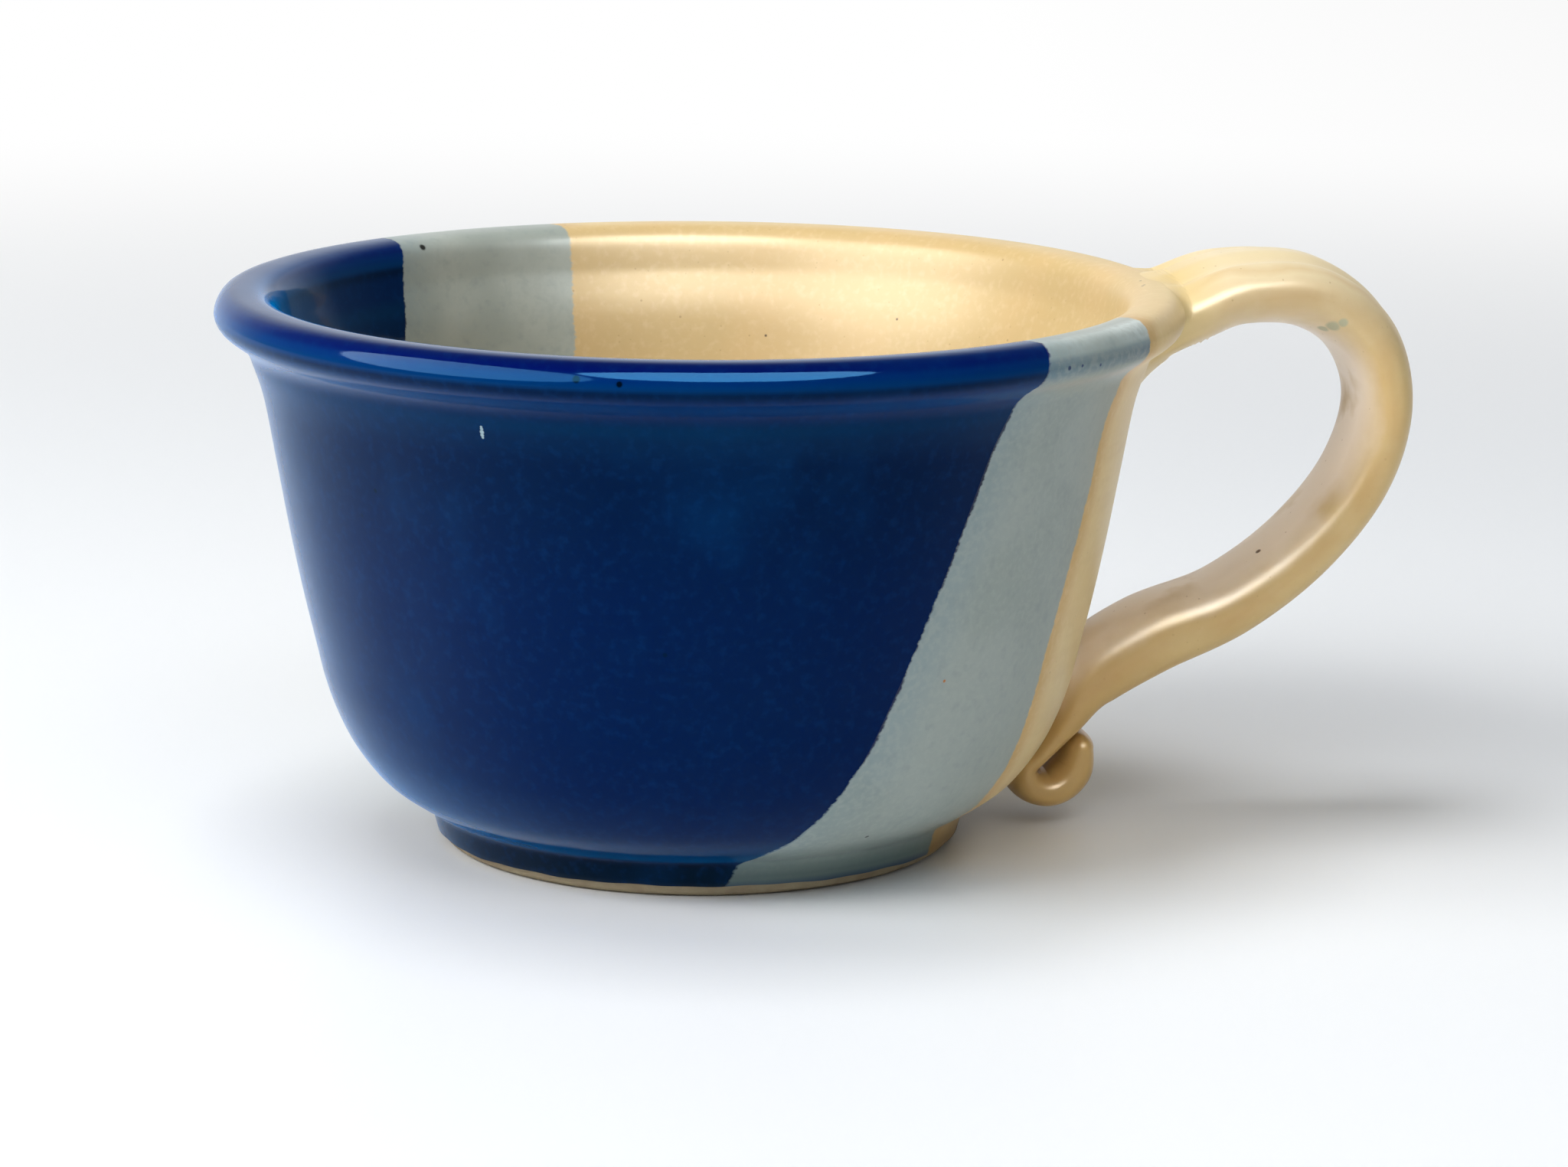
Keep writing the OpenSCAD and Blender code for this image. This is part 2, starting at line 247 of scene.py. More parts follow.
def colour_property(name, description, code):
    """A colour that the user can change, whose default is an sRGB hex code."""
    return FloatVectorProperty(
        name=name, description=description, subtype="COLOR", size=3, min=0, max=1,
        default=hex_colour(code))


class MugColours(bpy.types.PropertyGroup):
    """Colours of the glazes and the clay."""

    cobalt: colour_property("Cobalt", "Cobalt glaze where it lies thick", "000938")
    cobalt_thin: colour_property("Thin cobalt", "Cobalt glaze where it lies thin", "013468")
    grey: colour_property("Blue grey", "Blue-grey glaze", "939c96")
    cream: colour_property("Cream", "Cream glaze", "d8c08a")
    amber: colour_property("Amber", "Cream glaze where it breaks over an edge", "b98f4c")
    clay: colour_property("Clay", "Bare fired stoneware", "8f8268")
    floor: colour_property("Floor", "Table and backdrop", "e9ecef")


# Curves and surfaces

def smooth(keys, steps):
    """A Catmull-Rom curve through the keys: each stretch is the cubic that leaves and reaches
    a key along the line between that key's two neighbours."""
    keys = np.asarray(keys, float)
    wide = np.vstack([keys[:1], keys, keys[-1:]])
    a, b, c, d = wide[:-3, None], wide[1:-2, None], wide[2:-1, None], wide[3:, None]
    t = (np.arange(steps) / steps)[None, :, None]
    curve = 0.5 * (2 * b + (c - a) * t + (2 * a - 5 * b + 4 * c - d) * t**2 + (3 * b - a - 3 * c + d) * t**3)
    return np.vstack([curve.reshape(-1, keys.shape[1]), keys[-1:]])


def left_normals(line):
    """Unit normals to the left of a line of (r, z) points."""
    d = np.gradient(line, axis=0)
    d /= np.linalg.norm(d, axis=1)[:, None]
    return np.stack([-d[:, 1], d[:, 0]], axis=1)


def resampled(line, step):
    """The line with its points a fixed length apart."""
    s = np.concatenate([[0], np.cumsum(np.linalg.norm(np.diff(line, axis=0), axis=1))])
    at = np.linspace(0, s[-1], max(2, int(round(s[-1] / step)) + 1))
    return np.stack([np.interp(at, s, line[:, k]) for k in range(line.shape[1])], axis=1)


def softened(line, reach):
    """The line with its corners rounded, by a running mean whose weights fall off over a reach
    given in points, with the two ends kept."""
    k = np.exp(-0.5 * (np.arange(-3 * reach, 3 * reach + 1) / reach) ** 2)
    k /= k.sum()
    n = 3 * reach
    out = line.copy()
    for axis in range(2):
        v = line[:, axis]
        padded = np.concatenate([2 * v[0] - v[n:0:-1], v, 2 * v[-1] - v[-2:-n - 2:-1]])
        out[:, axis] = np.convolve(padded, k, mode="valid")
    return out


def glazed_outline(s, step):
    """The mug's finished outline as (r, z) in metres: up the foot and the wall, over the lip,
    and down the inside to the middle of the floor. The inside is the wall's curve moved in by
    the wall's thickness, which grows by a twentieth towards the rim."""
    foot_r, shoulder_r = s.foot_d / 2, s.rim_d / 2 - s.lip_out
    shoulder_z = s.mug_h - s.lip_h
    wall = smooth(WALL_SHARES, OUTLINE_STEPS) * (shoulder_r - foot_r, shoulder_z - s.foot_h)
    wall += (foot_r, s.foot_h)
    lip = smooth(LIP_SHARES, OUTLINE_STEPS) * (s.lip_out, s.lip_h) + (shoulder_r, shoulder_z)
    rise = np.linspace(0, 1, len(wall))[:, None]
    inner = (wall + left_normals(wall) * s.wall_t * (1 + RIM_THICKENING * rise**4))[::-1]
    floor_r, floor_z = inner[-1, 0], inner[-1, 1] - s.glaze_t
    foot = np.array([
        [foot_r - s.foot_taper * (1 - s.bare_h / s.foot_h), s.bare_h], [foot_r, s.foot_h]])
    floor = np.array([
        [floor_r * 0.8, floor_z + 0.4 * s.glaze_t], [floor_r * 0.5, floor_z], [0, floor_z]])
    line = resampled(np.vstack([foot[:1], wall, lip[1:], inner[1:], floor]), OUTLINE_PITCH / 4)
    line = softened(line, reach=3)
    line[-1, 0] = 0
    return resampled(line, step)


def mug_distance(points, outline):
    """Signed distance of (x, y, z) points from the mug's surface, positive outside the clay, with
    the nearest point and the surface's outward normal there: the nearest point of the outline
    in the (r, z) plane, turned back to the point's own direction."""
    r = np.linalg.norm(points[:, :2], axis=1)
    flat = np.stack([r, points[:, 2]], axis=1)
    a, b = outline[:-1], outline[1:]
    ab = b - a
    length = (ab**2).sum(axis=1)
    near, normal, dist = np.empty_like(flat), np.empty_like(flat), np.empty(len(flat))
    batch = 4000
    for i in range(0, len(flat), batch):
        p = flat[i:i + batch, None]
        t = np.clip(((p - a) * ab).sum(axis=2) / length, 0, 1)
        foot = a + t[..., None] * ab
        d2 = ((p - foot) ** 2).sum(axis=2)
        k = d2.argmin(axis=1)
        row = np.arange(len(k))
        near[i:i + batch] = foot[row, k]
        right = np.stack([ab[k, 1], -ab[k, 0]], axis=1)
        right /= np.linalg.norm(right, axis=1)[:, None]
        normal[i:i + batch] = right
        side = np.sign(((p[:, 0] - foot[row, k]) * right).sum(axis=1))
        dist[i:i + batch] = np.sqrt(d2[row, k]) * np.where(side == 0, 1, side)
    around = points[:, :2] / np.maximum(r, 1e-9)[:, None]

    def turned(v):
        return np.column_stack([around * v[:, :1], v[:, 1]])

    return dist, turned(near), turned(normal)


def new_object(name, verts, faces, node, material, uv=None):
    """A mesh object with smooth faces, which takes the place of a CAD node."""
    mesh = bpy.data.meshes.new(name)
    mesh.from_pydata(verts, [], faces)
    if uv is not None:
        layer = mesh.uv_layers.new(name="UVMap")
        index = np.empty(len(mesh.loops), dtype=np.int32)
        mesh.loops.foreach_get("vertex_index", index)
        layer.data.foreach_set("uv", uv[index].astype(np.float32).ravel())
    mesh.materials.append(material)
    mesh.validate()
    mesh.shade_smooth()
    obj = bpy.data.objects.new(name, mesh)
    bpy.context.scene.collection.objects.link(obj)
    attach(obj, "root")
    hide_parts(node)
    return obj


def grid_faces(rows, cols, closed=False):
    """Four-sided faces of a grid of rows by cols points, joined round its columns if closed."""
    i, j = np.meshgrid(np.arange(rows - 1), np.arange(cols if closed else cols - 1), indexing="ij")
    k = (j + 1) % cols
    corners = i * cols + j, i * cols + k, (i + 1) * cols + k, (i + 1) * cols + j
    return np.stack(corners, axis=-1).reshape(-1, 4)


def revolved(outline, angles):
    """Points of a revolved outline: each row is one point of the outline at that row's angles."""
    r, z = outline[:, :1], outline[:, 1:]
    return np.stack([r * np.cos(angles), r * np.sin(angles), np.broadcast_to(z, angles.shape)], axis=-1)


def dip_angle(outline, dip):
    """Half angle of the arc of each ring that lies past a dip plane, on the handle's side. The
    plane is r cos(angle) cos(lean) - z sin(lean) = distance, and a ring that it misses gets 0
    or a half turn."""
    lean = math.radians(dip[1])
    c = (dip[2] * MM + outline[:, 1] * math.sin(lean)) / np.maximum(outline[:, 0] * math.cos(lean), 1e-9)
    return np.arccos(np.clip(c, -1, 1))


def ragged_end(points, outline, bare_h):
    """Lets the glaze's lower end wander up and down by a few tenths of a millimetre, by sines of
    the angle that fade out up the foot. The inside of the bowl, further on along the outline,
    stays as it is."""
    a = np.arctan2(points[..., 1], points[..., 0])
    lift = RAGGED_LIFT
    for count, phase, height in RAGGED_WAVES:
        lift = lift + height * np.sin(count * a + phase)
    fade = np.clip(1 - (outline[:, 1] - bare_h) / (RAGGED_FADE * MM), 0, 1)
    fade *= np.arange(len(outline)) < outline[:, 1].argmax()
    points[..., 2] += lift * MM * fade[:, None]
    return points


# Materials

def add(tree, kind, inputs=(), **settings):
    """Adds a node, sets its properties, and sets or links its inputs: a list fills them in order and
    a dictionary goes by their names. A node given as an input is linked by its first output."""
    node = tree.nodes.new(kind)
    for key, value in settings.items():
        setattr(node, key, value)
    ready = [socket for socket in node.inputs if socket.enabled]
    for key, value in inputs.items() if isinstance(inputs, dict) else enumerate(inputs):
        socket = node.inputs[key] if isinstance(key, str) else ready[key]
        if isinstance(value, bpy.types.Node):
            value = next(out for out in value.outputs if out.enabled)
        if isinstance(value, bpy.types.NodeSocket):
            tree.links.new(value, socket)
        else:
            socket.default_value = (*value, 1) if socket.type == "RGBA" else value
    return node


def blank_material(name):
    """A new material with an empty tree, and its place on the object."""
    material = bpy.data.materials.new(name)
    material.use_nodes = True
    tree = material.node_tree
    tree.nodes.clear()
    return material, tree, add(tree, "ShaderNodeTexCoord").outputs["Object"]


def clouds(tree, where, size_mm, low, high, share=1.0, stretch=(1, 1, 1), turn=(0, 0, 0), detail=2.0):
    """Cloudy patches about size_mm wide, longer where stretch is under 1: 0 where the noise is
    under low, and share where it is over high."""
    place = add(tree, "ShaderNodeMapping", {"Vector": where, "Rotation": turn, "Scale": stretch})
    noise = add(tree, "ShaderNodeTexNoise", {"Vector": place, "Scale": 1000 / size_mm, "Detail": detail})
    return add(tree, "ShaderNodeMapRange", {
        "Value": noise, "From Min": low, "From Max": high, "To Max": share}, interpolation_type="SMOOTHSTEP")


def specks(tree, where, pitch_mm, size_mm, kept, share=1.0):
    """Round specks size_mm across, one in each cell of pitch_mm, of which a part is kept."""
    cells = add(tree, "ShaderNodeTexVoronoi", {"Vector": where, "Scale": 1000 / pitch_mm})
    radius = 0.5 * size_mm / pitch_mm
    dot = add(tree, "ShaderNodeMapRange", {
        "Value": cells, "From Min": radius * 1.25, "From Max": radius * 0.75, "To Max": share})
    lot = add(tree, "ShaderNodeSeparateColor", [cells.outputs["Color"]])
    chosen = add(tree, "ShaderNodeMath", [lot, kept], operation="LESS_THAN")
    return add(tree, "ShaderNodeMath", [dot, chosen], operation="MULTIPLY")


def spots(tree, where, table):
    """Single marks in the glaze, each at its own place: x, y, z and radius in millimetres."""
    total = None
    for x, y, z, radius in table:
        far = add(tree, "ShaderNodeVectorMath", [where, (x * MM, y * MM, z * MM)], operation="DISTANCE")
        mark = add(tree, "ShaderNodeMapRange", {
            "Value": far, "From Min": radius * 1.2 * MM, "From Max": radius * 0.7 * MM})
        total = add(tree, "ShaderNodeMath", [total, mark], operation="MAXIMUM") if total else mark
    return total


def by_height(tree, where, stops, plain):
    """A colour that changes with the height above the table, by stops in millimetres, of which
    those with no colour of their own take the plain one."""
    top = stops[-1][0]
    height = add(tree, "ShaderNodeSeparateXYZ", [where]).outputs["Z"]
    level = add(tree, "ShaderNodeMath", [height, 1 / (top * MM)], operation="MULTIPLY")
    node = add(tree, "ShaderNodeValToRGB", [level])
    node.color_ramp.interpolation = "EASE"
    marks = node.color_ramp.elements
    while len(marks) < len(stops):
        marks.new(0.5)
    for mark, (z, _) in zip(marks, stops):
        mark.position = z / top
    for mark, (_, code) in zip(marks, stops):
        mark.color = (*(hex_colour(code) if code else plain), 1)
    return node


def laid_over(tree, colour, coats):
    """Lays colours over a first one in turn, each by its own share."""
    for share, over in coats:
        over = hex_colour(over) if isinstance(over, str) else over
        colour = add(tree, "ShaderNodeMix", [share, colour, over], data_type="RGBA")
    return colour


def past_dip(tree, where, dip):
    """How far past a dip plane a place is, in metres, on the handle's side. The line wanders by
    a few tenths of a millimetre and has a fine ragged edge, as wet glaze leaves it."""
    azimuth, lean = math.radians(dip[0]), math.radians(dip[1])
    facing = (math.cos(azimuth) * math.cos(lean), math.sin(azimuth) * math.cos(lean), -math.sin(lean))
    place = add(tree, "ShaderNodeVectorMath", [where, facing], operation="DOT_PRODUCT")
    far = add(tree, "ShaderNodeMath", [place, dip[2] * MM], operation="SUBTRACT")
    for size_mm, reach, stretch in DIP_WAVES:
        wave = clouds(tree, where, size_mm, 0.25, 0.75, reach * MM, stretch)
        far = add(tree, "ShaderNodeMath", [far, wave], operation="ADD")
        far = add(tree, "ShaderNodeMath", [far, reach / 2 * MM], operation="SUBTRACT")
    return far


def dip_share(tree, far, low_mm, high_mm, share=1.0):
    """From 0 to share over a stretch past a dip plane."""
    return add(tree, "ShaderNodeMapRange", {
        "Value": far, "From Min": low_mm * MM, "From Max": high_mm * MM, "To Max": share},
        interpolation_type="SMOOTHSTEP")


def facing_in(tree, where):
    """1 where the surface faces the mug's axis, as the inside does, and 0 where it faces away."""
    flat = add(tree, "ShaderNodeVectorMath", [where, (1, 1, 0)], operation="MULTIPLY")
    outwards = add(tree, "ShaderNodeVectorMath", [flat], operation="NORMALIZE")
    normal = add(tree, "ShaderNodeNewGeometry").outputs["Normal"]
    away = add(tree, "ShaderNodeVectorMath", [normal, outwards], operation="DOT_PRODUCT")
    return add(tree, "ShaderNodeMapRange", {"Value": away, "From Min": 0.15, "From Max": -0.35})


def off_axis(tree, where, low_mm, high_mm):
    """From 0 to 1 over a stretch of distances from the mug's axis."""
    flat = add(tree, "ShaderNodeVectorMath", [where, (1, 1, 0)], operation="MULTIPLY")
    far = add(tree, "ShaderNodeVectorMath", [flat], operation="LENGTH")
    return add(tree, "ShaderNodeMapRange", {"Value": far, "From Min": low_mm * MM, "From Max": high_mm * MM})


def cobalt_colour(tree, where, colours):
    """Cobalt over stoneware: near black at the foot and in the crease under the lip, partly where the
    glaze pools and partly painted shade under the bowl's overhang and in the cove; thin and greener
    round the lip, purer blue on the rim, with cloudy patches where it lies thin."""
    # The colour by height brings in painted shade up the foot and in the cove under the lip
    colour = by_height(tree, where, COBALT_HEIGHTS, colours.cobalt)
    lean = (0.5, 0.6, 0.2)
    return laid_over(tree, colour, [
        # Wide and narrow patches where the coat is thin
        (clouds(tree, where, 34, 0.52, 0.76, 0.18, (1, 1, 0.55), lean), colours.cobalt_thin),
        (clouds(tree, where, 12, 0.52, 0.78, 0.16, (1, 1, 0.7), lean, 3.0), colours.cobalt_thin),
        # Fine mottling, and the odd dark speck
        (clouds(tree, where, 1.3, 0.45, 0.8, 0.2), "063064"),
        (specks(tree, where, 7, 0.6, 0.1, 0.6), "000612"),
        (spots(tree, where, DARK_SPOTS), "000614"),
        (spots(tree, where, PALE_SPOTS), "8fa3a8"),
    ])


def grey_colour(tree, where, colours):
    """Blue-grey satin glaze: pale and dark flecks, bluer where cobalt has run into it, a few iron
    specks and a dark blue line where it pools over the foot's edge."""
    height = add(tree, "ShaderNodeSeparateXYZ", [where]).outputs["Z"]
    pool = add(tree, "ShaderNodeMapRange", {
        "Value": height, "From Min": 2.5 * MM, "From Max": 1.5 * MM, "To Max": 0.8})
    # Painted shade: darker up the foot, which the bowl's overhang shades
    foot = add(tree, "ShaderNodeMapRange", {
        "Value": height, "From Min": 8 * MM, "From Max": 3 * MM, "To Max": 0.85})
    bleed = dip_share(tree, past_dip(tree, where, COBALT_DIP), 9, 0, 0.45)
    return laid_over(tree, colours.grey, [
        # Painted shade in the cove under the lip and a painted highlight over its top, on the outside only
        (off_axis(tree, where, 61.2, 62.6), by_height(tree, where, GREY_LIP_SHADE_AND_HIGHLIGHT, colours.grey)),
        # Paler on the inside: painted light, as the inside catches more of the light from above
        (facing_in(tree, where), "a8afa7"),
        (bleed, "6f8790"),
        # Wide darker clouds, pale flecks, dark flecks and blue specks
        (clouds(tree, where, 16, 0.4, 0.65, 0.4), "7f8a84"),
        (clouds(tree, where, 0.9, 0.4, 0.7, 0.35), "9ca39c"),
        (clouds(tree, where, 1.7, 0.5, 0.8, 0.2), "66767a"),
        (specks(tree, where, 6.5, 0.45, 0.14, 0.7), "27384a"),
        # Darker up the foot, painted shade under the bowl's overhang, and a dark line where it pools at the
        # foot's edge
        (foot, "3f5250"),
        (pool, "1c3350"),
        (spots(tree, where, IRON_SPOTS), "20211f"),
        (spots(tree, where, BLUE_SPOTS), "24385c"),
        (spots(tree, where, RUST_SPOTS), "a8672f"),
    ])


def cream_colour(tree, where, colours):
    """Cream glaze over buff clay: soft streaks round the thrown wall, fine brown flecks of iron and
    amber next to the grey dip line. Up the foot it is darker and browner, partly where it is thin and
    partly painted shade under the bowl's overhang, and it is darker on the inside, painted shade."""
    height = add(tree, "ShaderNodeSeparateXYZ", [where]).outputs["Z"]
    # Darker up the foot: partly thin glaze, partly painted shade under the bowl's overhang
    foot = add(tree, "ShaderNodeMapRange", {
        "Value": height, "From Min": 8 * MM, "From Max": 2.5 * MM, "To Max": 0.85})
    return laid_over(tree, colours.cream, [
        (dip_share(tree, past_dip(tree, where, CREAM_DIP), 4.5, 0.3, 0.75), colours.amber),
        # Darker on the inside: painted shade
        (facing_in(tree, where), "cdb27e"),
        # Streaks round the wall, wide pinker clouds and pale flecks
        (clouds(tree, where, 5, 0.42, 0.66, 0.25, (0.25, 0.25, 2.2), detail=3.0), "c9ab74"),
        (clouds(tree, where, 20, 0.42, 0.7, 0.3), "dcb985"),
        (clouds(tree, where, 1.1, 0.45, 0.8, 0.25), "e6cfa4"),
        # Painted shade up the foot, with the glaze thin there
        (foot, "705224"),
        # Iron specks, from many fine ones to a few large ones
        (specks(tree, where, 1.5, 0.26, 0.5, 0.3), "a07f4c"),
        (specks(tree, where, 3.2, 0.35, 0.3, 0.45), "8f6a3c"),
        (specks(tree, where, 12, 0.6, 0.25, 0.75), "5c4022"),
        (spots(tree, where, BROWN_SPOTS), "4a331c"),
    ])


def glazed(tree, where, colour, roughness, relief, ior=1.32, tint=(1, 1, 1)):
    """Melted glass over clay: a clear reflection, bent by waves of a few hundredths of a
    millimetre. Relief lists each wave's width in mm, its height in micrometres and its stretch."""
    normal = None
    for size_mm, height_um, stretch in relief:
        wave = clouds(tree, where, size_mm, 0.0, 1.0, 1.0, stretch, detail=1.0)
        bump = {"Distance": height_um * UM, "Height": wave}
        normal = add(tree, "ShaderNodeBump", {**bump, "Normal": normal} if normal else bump)
    shader = add(tree, "ShaderNodeBsdfPrincipled", {
        "Base Color": colour, "Roughness": roughness, "IOR": ior, "Specular Tint": tint, "Normal": normal})
    add(tree, "ShaderNodeOutputMaterial", [shader])
    return shader


def cobalt_glaze(colours):
    """Glossy cobalt glaze, dipped and fired: deep, wet and mirror sharp. The blue glass lets
    little red light back out, so its own reflections look blue too, and a faint blue bloom
    of tiny bubbles shows where it is seen at a slant."""
    material, tree, where = blank_material("cobalt gloss glaze, dipped")
    edge = dip_share(tree, past_dip(tree, where, COBALT_DIP), -0.2, 0.2)
    colour = laid_over(tree, cobalt_colour(tree, where, colours), [(edge, grey_colour(tree, where, colours))])
    shader = glazed(tree, where, colour, roughness=0.07, relief=GLOSS_WAVES, ior=1.22, tint=(0.12, 0.55, 1.0))
    shader.inputs["Sheen Weight"].default_value = 0.45
    shader.inputs["Sheen Roughness"].default_value = 0.4
    shader.inputs["Sheen Tint"].default_value = (0, 0.35, 1, 1)
    return material


def grey_glaze(colours):
    """Blue-grey satin glaze, dipped over the cobalt's edge: softer and a little milky."""
    material, tree, where = blank_material("blue grey satin glaze, dipped")
    blue_edge = dip_share(tree, past_dip(tree, where, COBALT_DIP), 0.2, -0.2)
    cream_edge = dip_share(tree, past_dip(tree, where, CREAM_DIP), -0.2, 0.2)
    colour = laid_over(tree, grey_colour(tree, where, colours), [
        (blue_edge, cobalt_colour(tree, where, colours)), (cream_edge, cream_colour(tree, where, colours))])
    glazed(tree, where, colour, roughness=0.3, relief=SATIN_WAVES)
    return material


def cream_glaze(colours):
    """Cream gloss glaze, dipped: warm, with the clay's iron and the thrown rings showing through."""
    material, tree, where = blank_material("cream gloss glaze, dipped")
    edge = dip_share(tree, past_dip(tree, where, CREAM_DIP), 0.2, -0.2)
    colour = laid_over(tree, cream_colour(tree, where, colours), [(edge, grey_colour(tree, where, colours))])
    glazed(tree, where, colour, roughness=0.34, relief=RINGED_WAVES)
    return material


def handle_glaze(colours):
    """The same cream glaze on the pulled strap: it runs off the strap's edges and breaks amber
    there. Its inner face is painted paler and pinker, a painted reflection of the pale room; the crown
    of the arch is painted pale, a painted highlight; the tail is amber where the glaze is thin and
    darker low down, partly painted shade; and the scroll is thin and amber. The piece's UV map gives
    the place round the section."""
    material, tree, where = blank_material("cream gloss glaze, over a pulled strap")
    place = add(tree, "ShaderNodeUVMap", uv_map="UVMap")
    around = add(tree, "ShaderNodeSeparateXYZ", [place]).outputs["Y"]
    sway = clouds(tree, where, 12, 0.3, 0.7, BAND_SWAY, detail=3.0)
    around = add(tree, "ShaderNodeMath", [around, sway], operation="ADD")
    height = add(tree, "ShaderNodeSeparateXYZ", [where]).outputs["Z"]
    # Amber low on the strap, where the glaze is thin, and darker there: partly painted shade low down
    tail = add(tree, "ShaderNodeMapRange", {
        "Value": height, "From Min": 36 * MM, "From Max": 14 * MM, "To Max": 0.5})
    # Painted highlight: paler on the crown of the arch, where the lights above shine on it
    crown_highlight = add(tree, "ShaderNodeMapRange", {
        "Value": height, "From Min": 63 * MM, "From Max": 77 * MM, "To Max": 0.45})
    coats = [(0.5, "d4bb86"), (clouds(tree, where, 7, 0.4, 0.7, 0.25), "c9a868"), (tail, colours.amber),
             (crown_highlight, "f2e8cc")]
    for middle, reach, share, code in HANDLE_BANDS:
        off = add(tree, "ShaderNodeMath", [around, middle + BAND_SWAY / 2], operation="SUBTRACT")
        off = add(tree, "ShaderNodeMath", [off], operation="ABSOLUTE")
        band = add(tree, "ShaderNodeMapRange", {
            "Value": off, "From Min": reach, "From Max": 0, "To Max": share})
        broken = clouds(tree, where, 9, 0.2, 0.6, 1.0, detail=3.0)
        coats.append((add(tree, "ShaderNodeMath", [band, broken], operation="MULTIPLY"), code))
    scroll = add(tree, "ShaderNodeMapRange", {
        "Value": height, "From Min": 21 * MM, "From Max": 14 * MM, "To Max": 0.85})
    coats.append((scroll, "c29f62"))
    # Where the strap comes off the rim it has the rim's own cream
    near_rim = off_axis(tree, where, 71, 64.5)
    high = add(tree, "ShaderNodeMath", [height, 50 * MM], operation="GREATER_THAN")
    coats.append((add(tree, "ShaderNodeMath", [near_rim, high], operation="MULTIPLY"), colours.cream))
    coats.append((specks(tree, where, 1.8, 0.28, 0.4, 0.35), "9a7440"))
    coats.append((spots(tree, where, STRAP_PITS), "5c4022"))
    coats.append((spots(tree, where, STRAP_SMUDGE), "b6b294"))
    colour = laid_over(tree, cream_colour(tree, where, colours), coats)
    glazed(tree, where, colour, roughness=0.33, relief=STRAP_WAVES)
    return material


def bare_clay(colours, name="buff stoneware, trimmed and fired bare"):
    """Bare stoneware, thrown and trimmed on the wheel: dry, buff and sandy, with turned lines."""
    material, tree, where = blank_material(name)
    colour = laid_over(tree, colours.clay, [
        (clouds(tree, where, 3, 0.35, 0.7, 0.6, detail=4.0), "7d6b54"),
        (specks(tree, where, 1.6, 0.35, 0.35, 0.5), "4a3826"),
    ])
    glazed(tree, where, colour, roughness=0.86, relief=CLAY_WAVES)
    return material


# Pieces

def sizes():
    """The user's sizes of this scene."""
    return bpy.context.scene.mug_sizes


def colours():
    """The user's colours of this scene."""
    return bpy.context.scene.mug_colours


def trimmed_foot(s):
    """The underside as (r, z): a shallow hollow, the flat ring on the table and its eased outer
    edge, up to where the glaze ends. The edges are eased by multiples of the glaze's thickness."""
    outer, ease, deep = s.foot_d / 2 - s.foot_taper - s.glaze_t, s.glaze_t, s.recess_depth
    inner = outer - s.foot_ring_w
    under = smooth([
        (0, deep), (outer * 0.45, deep * 0.99), (inner - 2.4 * ease, deep * 0.93),
        (inner - 0.4 * ease, deep * 0.45), (inner + 0.6 * ease, 0.3 * ease), (inner + 2 * ease, 0),
        (outer - 4 * ease, 0), (outer - 2 * ease, 0.5 * ease), (outer - 0.6 * ease, 1.5 * ease),
        (outer, 2.7 * ease)], 10)
    under[:, 1] = np.maximum(under[:, 1], 0)
    return under


class ClayBowl(bpy.types.Operator):
    """The thrown bowl in bare clay, seen on its foot ring and its trimmed underside"""

    bl_idname = "mug.clay_bowl"
    bl_label = "Clay bowl"

    def execute(self, context):
        s = sizes()
        coat = glazed_outline(s, OUTLINE_PITCH)
        clay = coat + left_normals(coat) * s.glaze_t
        clay[-1, 0] = 0
        outline = np.vstack([trimmed_foot(s), clay])
        turns = np.linspace(0, 2 * math.pi, CLAY_COLUMNS, endpoint=False)[None, :]
        points = revolved(outline, np.broadcast_to(turns, (len(outline), CLAY_COLUMNS)))
        lines = TOOL_LINE_H * MM * np.sin(outline[:, 0] / MM * TOOL_LINE_RATE)
        lines *= np.arange(len(outline)) < TOOL_LINE_POINTS
        points[..., 2] += np.maximum(lines, 0)[:, None]
        faces = grid_faces(len(outline), CLAY_COLUMNS, closed=True)
        obj = new_object("clay_bowl", points.reshape(-1, 3), faces.tolist(), "bowl",
                         bare_clay(colours()))
        weld(obj, 0.01 * MM)
        return {"FINISHED"}


def weld(obj, reach):
    """Closes poles and seams: merges points that lie together and drops the faces with no width."""
    bm = bmesh.new()
    bm.from_mesh(obj.data)
    bmesh.ops.remove_doubles(bm, verts=bm.verts, dist=reach)
    bmesh.ops.dissolve_degenerate(bm, dist=reach, edges=bm.edges)
    bm.to_mesh(obj.data)
    bm.free()
    obj.data.shade_smooth()


def thicken(obj, thickness, reach):
    """Welds a skin, gives it its thickness inwards and keeps the turned edges crisp."""
    bm = bmesh.new()
    bm.from_mesh(obj.data)
    bmesh.ops.remove_doubles(bm, verts=bm.verts, dist=reach)
    bmesh.ops.dissolve_degenerate(bm, dist=reach, edges=bm.edges)
    bmesh.ops.recalc_face_normals(bm, faces=bm.faces)
    bmesh.ops.solidify(bm, geom=list(bm.faces), thickness=thickness)
    bm.to_mesh(obj.data)
    bm.free()
    obj.data.shade_smooth()
    obj.data.set_sharp_from_angle(angle=math.radians(50))


